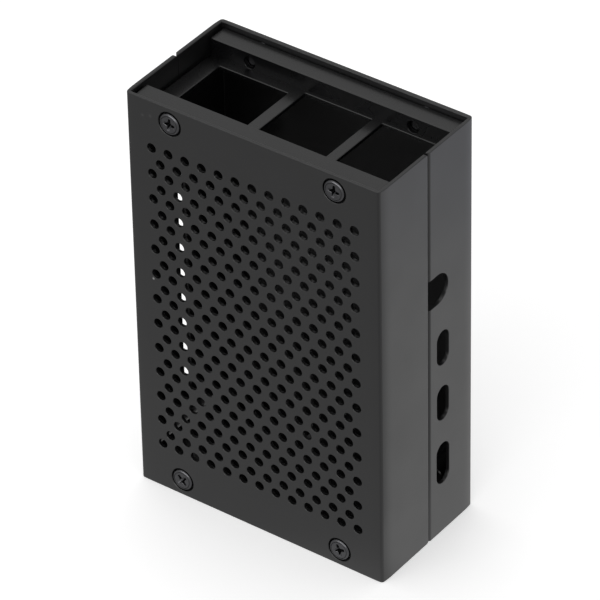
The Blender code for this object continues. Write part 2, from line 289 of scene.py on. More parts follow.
def arc(middle: Sequence[float], radius: float, start: float, end: float, steps: int) -> Outline:
    """Points of an arc, both ends included.

    Args:
        middle: Centre of the arc.
        radius: Its radius.
        start: Angle of its first point in degrees.
        end: Angle of its last point in degrees.
        steps: Number of its chords.

    Returns:
        The points in order.
    """
    angles = [math.radians(start + (end - start) * step / steps) for step in range(steps + 1)]
    return [(middle[0] + radius * math.cos(a), middle[1] + radius * math.sin(a)) for a in angles]


def stadium(middle: Sequence[float], length: float, width: float, steps: int) -> Outline:
    """Outline of a slot with round ends, long in its second direction.

    Args:
        middle: Its middle.
        length: Its whole length.
        width: Its width.
        steps: Chords of each end.

    Returns:
        Its corners, counterclockwise.
    """
    radius = width / 2
    reach = length / 2 - radius
    return (arc((middle[0], middle[1] + reach), radius, 0, 180, steps)
            + arc((middle[0], middle[1] - reach), radius, 180, 360, steps))


def rounded_rectangle(low: Point, high: Point, radius: float, steps: int) -> Outline:
    """Outline of a rectangle with round corners.

    Args:
        low: Its lowest corner.
        high: Its highest corner.
        radius: Radius of its corners.
        steps: Chords of each.

    Returns:
        Its corners, counterclockwise.
    """
    left, right = low[0] + radius, high[0] - radius
    bottom, top = low[1] + radius, high[1] - radius
    quarters = ((right, top, 0), (left, top, 90), (left, bottom, 180), (right, bottom, 270))
    return [point for u, v, start in quarters for point in arc((u, v), radius, start, start + 90, steps)]


def grown(outline: Outline, distance: float) -> Outline:
    """Move a closed counterclockwise outline outwards.

    Args:
        outline: Its corners, without repeats.
        distance: How far each side moves.

    Returns:
        The moved corners.
    """
    result = []
    count = len(outline)
    for index in range(count):
        before = Vector(outline[index]) - Vector(outline[index - 1])
        after = Vector(outline[(index + 1) % count]) - Vector(outline[index])
        normals = [Vector((side.y, -side.x)).normalized() for side in (before, after)]
        middle = (normals[0] + normals[1]).normalized()
        reach = distance / max(middle.dot(normals[0]), MITRE_LIMIT)
        result.append((outline[index][0] + middle.x * reach, outline[index][1] + middle.y * reach))
    return result


def without_repeats(outline: Outline) -> Outline:
    """Drop corners of an outline that lie on the corner before them."""
    return [point for index, point in enumerate(outline)
            if (Vector(point) - Vector(outline[index - 1])).length > MERGE]


def loft(bm: bmesh.types.BMesh, rings: Sequence[Sequence[Vector]]) -> None:
    """Join rings of equal length into a closed shape with flat ends.

    Args:
        bm: Mesh that gets the shape.
        rings: Corners of each ring, in order from one end to the other.
    """
    verts = [[bm.verts.new(point) for point in ring] for ring in rings]
    count = len(verts[0])
    bm.faces.new(verts[0])
    bm.faces.new(verts[-1])
    for lower, upper in zip(verts, verts[1:]):
        for index in range(count):
            after = (index + 1) % count
            bm.faces.new((lower[index], lower[after], upper[after], upper[index]))


def prism(bm: bmesh.types.BMesh, outline: Outline, rings: Iterable[Ring], at: Matrix) -> None:
    """Loft an outline through rings that lie along an axis, each grown by its own distance.

    Args:
        bm: Mesh that gets the shape.
        outline: Counterclockwise outline.
        rings: Place along the third axis and growth of each ring.
        at: Matrix that places the shape.
    """
    clean = without_repeats(outline)
    loft(bm, [[at @ Vector((u, v, along)) for u, v in grown(clean, growth)]
              for along, growth in rings])


def turned(bm: bmesh.types.BMesh, profile: Outline, sides: int, at: Matrix) -> None:
    """Turn a profile of radius and height into a closed round shape.

    Args:
        bm: Mesh that gets the shape.
        profile: Points from one end to the other, none on the axis.
        sides: Number of sides.
        at: Matrix that places the shape.
    """
    steps = [math.tau * side / sides for side in range(sides)]
    loft(bm, [[at @ Vector((radius * math.cos(a), radius * math.sin(a), height)) for a in steps]
              for radius, height in profile])


def broken_edge(edge_break: float, steps: int = 2) -> list[Ring]:
    """Places and growths of a hole's mouth whose edge is rounded over by a small radius.

    Args:
        edge_break: The radius.
        steps: Chords of the rounding.

    Returns:
        Distance below the surface and growth of each ring, from the surface down.
    """
    angles = [math.pi / 2 * (1 - step / steps) for step in range(steps + 1)]
    return [(edge_break * (1 - math.sin(a)), edge_break * (1 - math.cos(a))) for a in angles]


def rounding(depth: float, radius: float) -> float:
    """How far a rounded edge is drawn in at a depth below its surface."""
    return radius - math.sqrt(max(0.0, radius ** 2 - max(0.0, radius - depth) ** 2))


def hole_rings(low: float, high: float, low_break: float,
               high_break: float | None = None) -> list[Ring]:
    """Rings of a cutter through a wall, flared at both of the wall's faces.

    Args:
        low: Lower face of the wall.
        high: Upper face of the wall.
        low_break: Radius of the broken edge at the lower face.
        high_break: Radius at the upper face, if it differs.

    Returns:
        Rings for prism, which run past both faces.
    """
    high_break = high_break or low_break
    below = [(low + depth, growth) for depth, growth in broken_edge(low_break)]
    above = [(high - depth, growth) for depth, growth in broken_edge(high_break)]
    return [(low - OVERRUN, low_break)] + below + above[::-1] + [(high + OVERRUN, high_break)]


# Finishes

@dataclass(frozen=True)
class Mark:
    """A round mark that fades out: a small flaw in a finish, or painted light or shade in the floor's
    reflection.

    Attributes:
        place: Its middle.
        radius: How far it reaches.
        colour: What shows there.
        strength: How much of that colour shows.
    """

    place: tuple[float, float, float]
    radius: float
    colour: str
    strength: float


def add_mark(tree: bpy.types.NodeTree, where: bpy.types.NodeSocket,
             tone: bpy.types.NodeSocket, mark: Mark) -> bpy.types.NodeSocket:
    """Lay a mark over a colour.

    Args:
        tree: Tree of the material.
        where: Object coordinates.
        tone: Colour so far.
        mark: The mark.

    Returns:
        Socket of the colour with the mark.
    """
    reach = add_node(tree, "ShaderNodeVectorMath", {"operation": "DISTANCE"},
                     {0: where, 1: mark.place}).outputs["Value"]
    share = add_node(tree, "ShaderNodeMapRange", {"interpolation_type": "SMOOTHSTEP"},
                     {"Value": reach, "From Min": mark.radius * MARK_CORE, "From Max": mark.radius,
                      "To Min": mark.strength, "To Max": 0.0}).outputs[0]
    return add_node(tree, "ShaderNodeMix", {"data_type": "RGBA"},
                    {"Factor": share, "A": tone, "B": linear(mark.colour)}).outputs["Result"]


@dataclass(frozen=True)
class MetalFinish:
    """A coated or plated metal surface with its grain.

    Attributes:
        name: What the finish is and how it was made.
        colour: Darker colour of the surface.
        colour_light: Lighter colour, where the coat is thinner.
        metallic: Share of bare metal in what the eye sees.
        roughness: Middle of the roughness.
        roughness_swing: How far the roughness wanders either way.
        grain: Size of the fine grain.
        grain_height: Height of the grain.
        cloud: Size of the slow changes in tone and gloss.
        stretch: Stretch of the grain along X, Y and Z, for extruded surfaces.
        ior: Refractive index of the coat.
        marks: Flaws that the surface shows.
    """

    name: str
    colour: str
    colour_light: str
    metallic: float
    roughness: float
    roughness_swing: float
    grain: float
    grain_height: float
    cloud: float
    stretch: tuple[float, float, float] = (1.0, 1.0, 1.0)
    ior: float = 1.5
    marks: tuple[Mark, ...] = field(default_factory=tuple)

    def build(self) -> bpy.types.Material:
        """Make the material.

        Returns:
            The material, which reads Object coordinates.
        """
        material = bpy.data.materials.new(self.name)
        tree = empty_tree(material)
        where = add_node(tree, "ShaderNodeTexCoord").outputs["Object"]
        squeezed = add_node(tree, "ShaderNodeMapping", inputs={
            "Vector": where, "Scale": [1 / share for share in self.stretch]}).outputs[0]
        grain = add_node(tree, "ShaderNodeTexNoise", inputs={
            "Vector": squeezed, "Scale": 1 / self.grain, "Detail": 3.0, "Roughness": 0.6})
        cloud = add_node(tree, "ShaderNodeTexNoise", inputs={
            "Vector": where, "Scale": 1 / self.cloud, "Detail": 2.0, "Roughness": 0.5})
        tone = add_node(tree, "ShaderNodeMix", {"data_type": "RGBA"},
                        {"Factor": cloud.outputs["Fac"], "A": linear(self.colour),
                         "B": linear(self.colour_light)}).outputs["Result"]
        for mark in self.marks:
            tone = add_mark(tree, where, tone, mark)
        gloss = add_node(tree, "ShaderNodeMapRange",
                         inputs={"Value": cloud.outputs["Fac"], "From Min": 0.3, "From Max": 0.7,
                                 "To Min": self.roughness - self.roughness_swing,
                                 "To Max": self.roughness + self.roughness_swing}).outputs[0]
        bump = add_node(tree, "ShaderNodeBump",
                        inputs={"Height": grain.outputs["Fac"], "Strength": 1.0,
                                "Distance": self.grain_height}).outputs[0]
        shader = add_node(tree, "ShaderNodeBsdfPrincipled",
                          inputs={"Base Color": tone, "Roughness": gloss, "Normal": bump,
                                  "Metallic": self.metallic, "IOR": self.ior})
        add_node(tree, "ShaderNodeOutputMaterial", inputs={"Surface": shader.outputs[0]})
        return material


# Pieces

@dataclass
class Casing:
    """Overall sizes of the case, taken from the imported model, and the sizes that its pieces share.

    The thickness, the seat and the seam follow the photo where they differ from the solids.

    Attributes:
        sheet: Thickness of the folded sheet.
        seat: Depth of the end frames' and standoffs' seats below the faces.
        seam_gap: Gap between the two covers at their free edges.
        seam_shift: How far the front cover's free edges reach beyond its solid.
        edge_break: Radius over which a cut edge is broken.
        screw_spread: Distance between the two screws of an end.
        screw_inset: Distance of the screws from the end.
        fit: Clearance of the screws in their holes.
    """

    sheet: float = 0.85 * MM
    seat: float = 0.9 * MM
    seam_gap: float = 0.07 * MM
    seam_shift: float = 0.17 * MM
    edge_break: float = 0.12 * MM
    screw_spread: float = 38.8 * MM
    screw_inset: float = 3.7 * MM
    fit: float = 0.3 * MM

    def __post_init__(self) -> None:
        """Read the corners of the covers."""
        front_low, front_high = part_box("front_cover")
        _, back_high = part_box("back_cover")
        self.half_width = front_high.x
        self.front = front_low.y
        self.back = back_high.y
        self.front_edge = front_high.y + self.seam_shift
        self.back_edge = self.front_edge + self.seam_gap
        self.height = front_high.z

    @property
    def seam(self) -> float:
        """Middle of the gap between the covers."""
        return (self.front_edge + self.back_edge) / 2

    def face_y(self, face: Face) -> float:
        """Place of a face along Y."""
        return self.front if face is Face.FRONT else self.back

    def screw_places(self) -> list[tuple[float, float]]:
        """Middles of one face's screws as x and z, in the order of the nodes' numbers."""
        return [(side * self.screw_spread / 2, z)
                for z in (self.screw_inset, self.height - self.screw_inset)
                for side in (-1, 1)]


@dataclass
class Fold:
    """A press-brake fold seen along its line: a tight middle that eases into the flats.

    Attributes:
        radius: Outer radius of the tight middle.
        hollow: Radius on the inside.
        ease_length: Length of the easing on either side.
        ease_degrees: How far the sheet turns within the easing of the wall and of the face.
        ease_steps: Chords of an easing.
        arc_steps: Chords of the middle.
        hollow_steps: Chords of the inside.
    """

    radius: float = 0.7 * MM
    hollow: float = 0.15 * MM
    ease_length: float = 3.0 * MM
    ease_degrees: tuple[float, float] = (10.0, 3.0)
    ease_steps: int = 6
    arc_steps: int = 12
    hollow_steps: int = 6

    def curve(self) -> list[tuple[float, float, float]]:
        """Follow the outside of the fold from the wall to the face.

        Returns:
            Distance along the wall, distance along the face, and turn in radians of each point.
        """
        wall, face = (math.radians(degrees) for degrees in self.ease_degrees)
        shares = [(step / self.ease_steps) ** 2 for step in range(self.ease_steps + 1)]
        easing = [self.ease_length / self.ease_steps] * self.ease_steps
        middle = math.pi / 2 - wall - face
        turns = [wall * share for share in shares]
        turns += [wall + middle * step / self.arc_steps for step in range(1, self.arc_steps + 1)]
        turns += [math.pi / 2 - face * share for share in reversed(shares[:-1])]
        chord = 2 * self.radius * math.sin(middle / self.arc_steps / 2)
        lengths = easing + [chord] * self.arc_steps + easing
        points = [(0.0, 0.0, 0.0)]
        for length, before, after in zip(lengths, turns, turns[1:]):
            heading = (before + after) / 2
            along, across, _ = points[-1]
            points.append((along + length * math.cos(heading), across + length * math.sin(heading),
                           after))
        return points


@dataclass
class Cover:
    """One folded cover: a U of sheet over the whole height of the case.

    Attributes:
        casing: Sizes of the case.
        face: Face that the cover closes.
        fold: Form of its two folds.
        rim_edges: Rounding of the rims on the outside and on the inside.
        rim_steps: Chords of that rounding.
        free_edge: Rounding of the free edges on the outside.
        free_steps: Chords of that rounding.
        inner_edge: Rounding of the free edges on the inside.
        screw_head: Diameter of the screws' heads.
        screw_shank: Diameter of their shanks.
        land_depth: Depth of the heads' straight rim below the face, where the cone begins.
        round_sides: Sides of a round hole.
    """

    casing: Casing
    face: Face
    fold: Fold = field(default_factory=Fold)
    rim_edges: tuple[float, float] = (0.15 * MM, 0.30 * MM)
    rim_steps: int = 4
    free_edge: float = 0.45 * MM
    free_steps: int = 4
    inner_edge: float = 0.048 * MM
    screw_head: float = 4.8 * MM
    screw_shank: float = 2.5 * MM
    land_depth: float = 0.5 * MM
    round_sides: int = 48

    def section(self, inset: float, inner_inset: float) -> Outline:
        """Section of the cover across X and Y.

        Args:
            inset: How far the outside is drawn in, for the broken edge of the rims.
            inner_inset: How far the inside is drawn in.

        Returns:
            Corners from the right free edge round the outside, and back along the inside.
        """
        casing = self.casing
        edge_y = casing.front_edge if self.face is Face.FRONT else casing.back_edge
        face_y = casing.face_y(self.face)
        wall = abs(edge_y - face_y) - inset
        curve = self.fold.curve()
        reach = curve[-1][0]
        # The free edge's rounding never takes more than the sheet has left at the rims
        edge = min(self.free_edge, casing.sheet - inner_inset - 2 * self.inner_edge) - inset
        outside = [(casing.half_width - inset - part, wall - depth)
                   for depth, part in broken_edge(edge, self.free_steps)]
        for along, across, turn in curve:
            point = Vector((casing.half_width - across, reach - along))
            normal = Vector((math.cos(turn), -math.sin(turn)))
            outside.append(tuple(point - normal * inset))
        hollow = self.fold.hollow
        inside = arc((casing.half_width - casing.sheet - hollow, casing.sheet + hollow),
                     hollow + inner_inset, -90, 0, self.fold.hollow_steps)
        inside += [(casing.half_width - casing.sheet + inner_inset + part, wall - depth)
                   for depth, part in reversed(broken_edge(self.inner_edge))]
        joints = self.face_joints()
        left_half = [(-x, depth) for x, depth in reversed(outside)]
        outside += [(x, inset) for x in reversed(joints)] + left_half
        inside = [(x, casing.sheet - inner_inset) for x in joints] + inside
        inside = [(-x, depth) for x, depth in reversed(inside[len(joints):])] + inside
        return [(x, face_y + self.face.inward * depth) for x, depth in outside + inside]

    def face_joints(self) -> list[float]:
        """Places along X where the mesh of the face is divided, in rising order."""
        return []

    def level_joints(self) -> list[float]:
        """Places along Z where the mesh is divided, in rising order."""
        return []

    def blank(self, name: str, material: bpy.types.Material) -> bpy.types.Object:
        """Fold the bare sheet.

        Args:
            name: Name of the piece.
            material: Its finish.

        Returns:
            The cover without holes.
        """
        rim = [(depth, rounding(depth, self.rim_edges[0]), inner_inset)
               for depth, inner_inset in broken_edge(self.rim_edges[1], self.rim_steps)]
        levels = rim + [(z, 0.0, 0.0) for z in self.level_joints()]
        levels += [(self.casing.height - depth, *insets) for depth, *insets in reversed(rim)]
        bm = bmesh.new()
        loft(bm, [[Vector((x, y, z)) for x, y in self.section(*insets)] for z, *insets in levels])
        return new_piece(name, bm, material)

    def add_screw_holes(self, bm: bmesh.types.BMesh) -> None:
        """Add the cutters of the countersunk holes.

        Args:
            bm: Mesh that gets them.
        """
        gap = self.casing.fit
        head = self.screw_head / 2 + gap
        shank = self.screw_shank / 2 + gap
        lip = self.casing.edge_break
        land = -self.land_depth
        profile = [(shank, -self.casing.sheet - OVERRUN), (shank, land - (head - shank)), (head, land),
                   (head, -lip), (head + lip, 0.0), (head + lip, OVERRUN)]
        for x, z in self.casing.screw_places():
            place = Matrix.Translation((x, self.casing.face_y(self.face), z)) @ self.face.facing()
            turned(bm, profile, self.round_sides, place)


@dataclass
class RibbonSlot:
    """The slot for a ribbon cable, which both left walls share across the seam.

    Attributes:
        middle_z: Height of its middle.
        length: Its length along Z.
        shares: How far it reaches from the seam into the front and the back cover.
        radius: Radius of its corners.
        steps: Chords of a corner.
        cable_edge: Rounding of the back cover's inner edge, which the cable bends over.
    """

    middle_z: float = 39.6 * MM
    length: float = 52.2 * MM
    shares: tuple[float, float] = (1.5 * MM, 0.9 * MM)
    radius: float = 0.45 * MM
    steps: int = 6
    cable_edge: float = 0.55 * MM

    def outline(self, seam: float, face: Face) -> Outline:
        """Outline of the notch in one cover, which runs past the seam.

        Args:
            seam: Place of the seam along Y.
            face: Face of the cover.

        Returns:
            Its corners across Y and Z.
        """
        low, high = self.middle_z - self.length / 2, self.middle_z + self.length / 2
        front, back = seam - OVERRUN, seam + OVERRUN
        if face is Face.FRONT:
            front = seam - self.shares[0]
        else:
            back = seam + self.shares[1]
        return rounded_rectangle((front, low), (back, high), self.radius, self.steps)


@dataclass
class FrontCover(Cover):
    """The perforated cover.

    Attributes:
        hole_diameter: Diameter of the punched holes.
        pitch_x: Distance between the holes of a row.
        pitch_z: Distance between two rows that aren't staggered.
        stagger_drop: How far the staggered rows lie below the middle between the others.
        columns: Holes in a full row.
        rows: Full rows.
        hole_sides: Sides of a hole.
        hole_break: Broken edge of a hole.
        corner_radius: Radius of the free corners of the side walls.
        corner_steps: Chords of such a corner.
    """

    hole_diameter: float = 2.1 * MM
    pitch_x: float = 4.0 * MM
    pitch_z: float = 6.0 * MM
    stagger_drop: float = 0.2 * MM
    columns: int = 13
    rows: int = 13
    hole_sides: int = 24
    hole_break: float = 0.08 * MM
    corner_radius: float = 1.0 * MM
    corner_steps: int = 10

    def face_joints(self) -> list[float]:
        """Lines through the middles of all holes, so that no face of the mesh has a hole inside it."""
        return [(line - self.columns + 1) * self.pitch_x / 2 for line in range(2 * self.columns - 1)]

    def level_joints(self) -> list[float]:
        """Lines midway between the staggered rows."""
        first = self.casing.height / 2 - (self.rows - 0.5) * self.pitch_z / 2
        return [first + line * self.pitch_z / 2 for line in range(2 * self.rows)]

    def build(self, material: bpy.types.Material) -> bpy.types.Object:
        """Fold, cut and perforate the cover.

        Args:
            material: Its finish.

        Returns:
            The finished piece.
        """
        casing = self.casing
        cover = self.blank("perforated_front_cover", material)
        bm = bmesh.new()
        self.add_screw_holes(bm)
        inner_face = -casing.half_width + casing.sheet
        prism(bm, RibbonSlot().outline(casing.seam, Face.FRONT),
              hole_rings(-casing.half_width, inner_face, casing.edge_break), TO_THE_RIGHT)
        self.add_corner_rounds(bm)
        cut(cover, bm)
        punch = self.punch()
        run_tree(cover, self.perforation(), {
            "Punch": punch, "Pitch X": self.pitch_x, "Pitch Z": self.pitch_z,
            "Columns": self.columns, "Rows": self.rows, "Stagger Drop": self.stagger_drop,
            "Face Y": casing.front, "Middle Z": casing.height / 2, "Material": material})
        bpy.data.objects.remove(punch, do_unlink=True)
        shade_round(cover)
        return cover

    def add_corner_rounds(self, bm: bmesh.types.BMesh) -> None:
        """Add the cutters that round the free corners of the side walls.

        Args:
            bm: Mesh that gets them.
        """
        casing = self.casing
        edge = casing.front_edge
        for end, inward in ((casing.height, -1), (0.0, 1)):
            middle = end + inward * self.corner_radius
            beyond = end - inward * OVERRUN
            curve = arc((edge - self.corner_radius, middle), self.corner_radius, -90 * inward, 0,
                        self.corner_steps)
            outline = [(edge + OVERRUN, beyond), (edge - self.corner_radius, beyond)] + curve
            outline.append((edge + OVERRUN, middle))
            if inward > 0:
                outline.reverse()
            for side in (-1, 1):
                low, high = sorted((side * casing.half_width,
                                    side * (casing.half_width - casing.sheet)))
                prism(bm, outline, hole_rings(low, high, casing.edge_break), TO_THE_RIGHT)

    def punch(self) -> bpy.types.Object:
        """Make the tool for one hole, with flared ends for the broken edges.

        Returns:
            The tool, with the middle of the hole's mouth at the origin.
        """
        radius = self.hole_diameter / 2
        past = self.hole_break / 2  # how far the flare runs on outside the sheet
        wide = radius + self.hole_break + past
        sheet = self.casing.sheet
        profile = [(wide, -sheet - past), (radius, -sheet + self.hole_break),
                   (radius, -self.hole_break), (wide, past)]
        bm = bmesh.new()
        half_side = Matrix.Rotation(math.pi / self.hole_sides, 4, "Z")
        turned(bm, profile, self.hole_sides, Face.FRONT.facing() @ half_side)
        return new_piece("punch", bm)

    def perforation(self) -> bpy.types.NodeTree:
        """Make the tree that punches two staggered grids of holes.

        Returns:
            The Geometry Nodes tree.
        """
        tree, values = geometry_tree("perforation", {
            "Punch": "Object", "Columns": "Int", "Rows": "Int", "Material": "Material",
            **dict.fromkeys(("Pitch X", "Pitch Z", "Stagger Drop", "Face Y", "Middle Z"), "Float")})
        given = values.outputs
        joined = add_node(tree, "GeometryNodeJoinGeometry")
        for fewer in (0.0, 1.0):  # the second grid has a row and a column less, and stands lower
            counts, sizes = [], []
            for number, pitch in (("Columns", "Pitch X"), ("Rows", "Pitch Z")):
                count = add_node(tree, "ShaderNodeMath", {"operation": "SUBTRACT"},
                                 {0: given[number], 1: fewer}).outputs[0]
                gaps = add_node(tree, "ShaderNodeMath", {"operation": "SUBTRACT"}, {0: count, 1: 1.0})
                size = add_node(tree, "ShaderNodeMath", {"operation": "MULTIPLY"},
                                {0: gaps.outputs[0], 1: given[pitch]})
                counts.append(count)
                sizes.append(size.outputs[0])
            level = add_node(tree, "ShaderNodeMath", {"operation": "MULTIPLY_ADD"},
                             {0: given["Stagger Drop"], 1: -fewer, 2: given["Middle Z"]})
            place = add_node(tree, "ShaderNodeCombineXYZ",
                             inputs={"Y": given["Face Y"], "Z": level.outputs[0]})
            grid = add_node(tree, "GeometryNodeMeshGrid", inputs={
                "Size X": sizes[0], "Size Y": sizes[1], "Vertices X": counts[0], "Vertices Y": counts[1]})
            upright = add_node(tree, "GeometryNodeTransform", inputs={
                "Geometry": grid.outputs["Mesh"], "Rotation": (math.radians(90), 0.0, 0.0),
                "Translation": place.outputs[0]})
            tree.links.new(upright.outputs[0], joined.inputs[0])
        tool = add_node(tree, "GeometryNodeObjectInfo", inputs={"Object": given["Punch"]})
        holes = add_node(tree, "GeometryNodeInstanceOnPoints", inputs={
            "Points": joined.outputs[0], "Instance": tool.outputs["Geometry"]})
        real = add_node(tree, "GeometryNodeRealizeInstances", inputs={"Geometry": holes.outputs[0]})
        punched = add_node(tree, "GeometryNodeMeshBoolean",
                           {"operation": "DIFFERENCE", "solver": "EXACT"},
                           {"Mesh 1": given["Geometry"], "Mesh 2": real.outputs[0]})
        close_tree(tree, punched.outputs["Mesh"], given["Material"])
        return tree


@dataclass
class Port:
    """A slot with round ends for a port in the right wall.

    Attributes:
        middle_z: Height of its middle.
        length: Its length along Z.
        width: Its width along Y.
    """

    middle_z: float
    length: float
    width: float


@dataclass
class BackCover(Cover):
    """The cover with the ports, the audio notch and the standoffs' rivet holes.

    Attributes:
        ports: The closed slots, from the bottom up.
        port_y: Middle of the slots along Y.
        port_steps: Chords of a slot's end.
        audio_middle: Middle of the audio notch's round end as y and z.
        audio_radius: Its radius.
        audio_steps: Chords of that end.
        rivet_hole: Diameter of the holes for the standoffs' rivets.
        free_edge: Rounding of the free edges, wider than the front cover's.
        free_steps: Chords of that rounding.
    """

    ports: tuple[Port, ...] = (Port(17.1 * MM, 9.9 * MM, 4.3 * MM),
                               Port(32.0 * MM, 8.1 * MM, 4.0 * MM),
                               Port(45.5 * MM, 8.1 * MM, 4.0 * MM))
    port_y: float = 5.1 * MM
    port_steps: int = 16
    audio_middle: Point = (3.4 * MM, 60.4 * MM)
    audio_radius: float = 3.45 * MM
    audio_steps: int = 24
    rivet_hole: float = 3.64 * MM
    free_edge: float = 0.7 * MM
    free_steps: int = 5

    def build(self, material: bpy.types.Material) -> bpy.types.Object:
        """Fold and cut the cover.

        Args:
            material: Its finish.

        Returns:
            The finished piece.
        """
        casing = self.casing
        cover = self.blank("folded_back_cover", material)
        bm = bmesh.new()
        self.add_screw_holes(bm)
        walls = hole_rings(casing.half_width - casing.sheet, casing.half_width, casing.edge_break)
        for port in self.ports:
            outline = stadium((self.port_y, port.middle_z), port.length, port.width, self.port_steps)
            prism(bm, outline, walls, TO_THE_RIGHT)
        _, z = self.audio_middle
        notch = arc(self.audio_middle, self.audio_radius, -90, 90, self.audio_steps)
        open_end = casing.back_edge - OVERRUN
        prism(bm, notch + [(open_end, z + self.audio_radius), (open_end, z - self.audio_radius)],
              walls, TO_THE_RIGHT)
        slot = RibbonSlot()
        prism(bm, slot.outline(casing.seam, Face.BACK),
              hole_rings(-casing.half_width, -casing.half_width + casing.sheet, casing.edge_break,
                         slot.cable_edge), TO_THE_RIGHT)
        rivet = self.rivet_hole / 2
        profile = [(rivet, -casing.sheet - OVERRUN), (rivet, -casing.edge_break),
                   (rivet + casing.edge_break, 0.0), (rivet + casing.edge_break, OVERRUN)]
        for node in by_number("standoff"):
            low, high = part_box(node)
            place = Matrix.Translation(((low.x + high.x) / 2, casing.back, (low.z + high.z) / 2))
            turned(bm, profile, self.round_sides, place @ Face.BACK.facing())
        cut(cover, bm)
        shade_round(cover)
        return cover


@dataclass
class EndFrame:
    """A length of channel that holds both covers, with windows in its web.

    Attributes:
        casing: Sizes of the case.
        end: End of the case that it closes.
        bars: Depth of the screw bars' inner sides below the front and the back face.
        bar_drops: How far they end inside the rim.
        web_drop: Depth of the web's outer side below the rim.
        web: Thickness of the web.
        edge_break: Chamfer of the channel's long edges and ends.
        network_margin: Web beside the network window, on its outer side.
        network_width: Width of the network window.
        network_insets: Web in front of it and behind it, up to the bars.
        network_rib: Rib between it and the first USB window.
        usb_width: Width of the first USB window. The second takes what is left.
        usb_insets: Web in front of both and behind them.
        usb_rib: Rib between them.
        usb_margin: Web beside the second one, on its outer side.
        card_slot: Lowest and highest corner of the other end's slot across X and Y.
        window_chamfer: Chamfer round the windows.
        window_radius: Radius of the windows' corners.
        window_steps: Chords of such a corner.
        thread_pitch: Pitch of the tapped holes.
        thread_depth: Depth of their thread.
        tap_radius: Radius of the holes inside the thread.
        tap_lip: Chamfer of the holes on the inside of the bar.
        seat_cone: Chamfer of the holes on the outside, which leaves room for the screws' cones.
        tap_sides: Sides of a hole.
    """

    casing: Casing
    end: End
    bars: tuple[float, float] = (5.5 * MM, 5.2 * MM)
    bar_drops: tuple[float, float] = (1.0 * MM, 1.3 * MM)
    web_drop: float = 5.2 * MM
    web: float = 0.8 * MM
    edge_break: float = 0.2 * MM
    network_margin: float = 3.8 * MM
    network_width: float = 16.5 * MM
    network_insets: tuple[float, float] = (2.8 * MM, 2.4 * MM)
    network_rib: float = 2.7 * MM
    usb_width: float = 15.85 * MM
    usb_insets: tuple[float, float] = (0.6 * MM, 0.45 * MM)
    usb_rib: float = 2.35 * MM
    usb_margin: float = 0.75 * MM
    card_slot: tuple[Point, Point] = ((-6.1 * MM, 7.8 * MM), (7.9 * MM, 9.6 * MM))
    window_chamfer: float = 0.11 * MM
    window_radius: float = 0.15 * MM
    window_steps: int = 4
    thread_pitch: float = 0.5 * MM
    thread_depth: float = 0.10 * MM
    tap_radius: float = 1.28 * MM
    tap_lip: float = 0.04 * MM
    seat_cone: float = 0.4 * MM
    tap_sides: int = 32

    @property
    def node(self) -> str:
        """Name of the CAD node that this piece stands for."""
        return "end_frame_" + self.end.name.lower()

    def build(self, material: bpy.types.Material) -> bpy.types.Object:
        """Saw, drill, tap and cut the channel.

        Args:
            material: Its finish.

        Returns:
            The finished piece.
        """
        low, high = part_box(self.node)
        rim = self.casing.height if self.end is End.PORTS else 0.0
        inward = self.end.value
        front_end, back_end = (rim + inward * drop for drop in self.bar_drops)
        casing = self.casing
        front_out, back_out = casing.front + casing.seat, casing.back - casing.seat
        front_in, back_in = casing.front + self.bars[0], casing.back - self.bars[1]
        web_out = rim + inward * self.web_drop
        web_in = web_out + inward * self.web
        section = [(front_out, web_in), (back_out, web_in), (back_out, back_end),
                   (back_in, back_end), (back_in, web_out), (front_in, web_out),
                   (front_in, front_end), (front_out, front_end)]
        if self.end is End.CARD:
            section.reverse()
        bm = bmesh.new()
        sawn = self.edge_break / 2
        levels = [(low.x, -sawn), (low.x + sawn, 0.0), (high.x - sawn, 0.0), (high.x, -sawn)]
        prism(bm, self.softened(section), levels, TO_THE_RIGHT)
        piece = new_piece(self.node + "_channel", bm, material)
        bm = bmesh.new()
        for face in Face:
            self.add_tapped_holes(bm, face)
        cut(piece, bm)
        bm = bmesh.new()
        for window_low, window_high in self.windows(low, high):
            outline = rounded_rectangle(window_low, window_high, self.window_radius,
                                        self.window_steps)
            outer = web_out - inward * OVERRUN
            levels = [(outer, self.window_chamfer), (web_out, self.window_chamfer),
                      (web_out + inward * self.window_chamfer, 0.0), (web_in + inward * OVERRUN, 0.0)]
            prism(bm, outline, levels, Matrix.Identity(4))
        cut(piece, bm)
        shade_round(piece)
        return piece

    def softened(self, section: Outline) -> Outline:
        """Chamfer the corners of a section, but not the two hollow ones between web and bars.

        Args:
            section: Its corners, counterclockwise.

        Returns:
            The section with two corners for each chamfered one.
        """
        count = len(section)
        result = []
        for index, point in enumerate(section):
            here = Vector(point)
            before = (Vector(section[index - 1]) - here).normalized()
            after = (Vector(section[(index + 1) % count]) - here).normalized()
            if before.cross(after) > 0:
                result.append(tuple(here))
            else:
                result += [tuple(here + side * self.edge_break) for side in (before, after)]
        return result

    def windows(self, low: Vector, high: Vector) -> list[tuple[Point, Point]]:
        """Low and high corners of the windows across X and Y.

        Args:
            low: Lowest corner of the channel.
            high: Highest corner of the channel.

        Returns:
            The network and USB windows of the port end, or the card slot of the other.
        """
        if self.end is End.CARD:
            return [self.card_slot]
        front, back = self.casing.front + self.bars[0], self.casing.back - self.bars[1]
        network_left = low.x + self.network_margin
        network_right = network_left + self.network_width
        usb_left, usb_right = network_right + self.network_rib, high.x - self.usb_margin
        rib_left = usb_left + self.usb_width
        rib_right = rib_left + self.usb_rib
        rows = ((network_left, network_right, self.network_insets),
                (usb_left, rib_left, self.usb_insets), (rib_right, usb_right, self.usb_insets))
        return [((left, front + insets[0]), (right, back - insets[1])) for left, right, insets in rows]

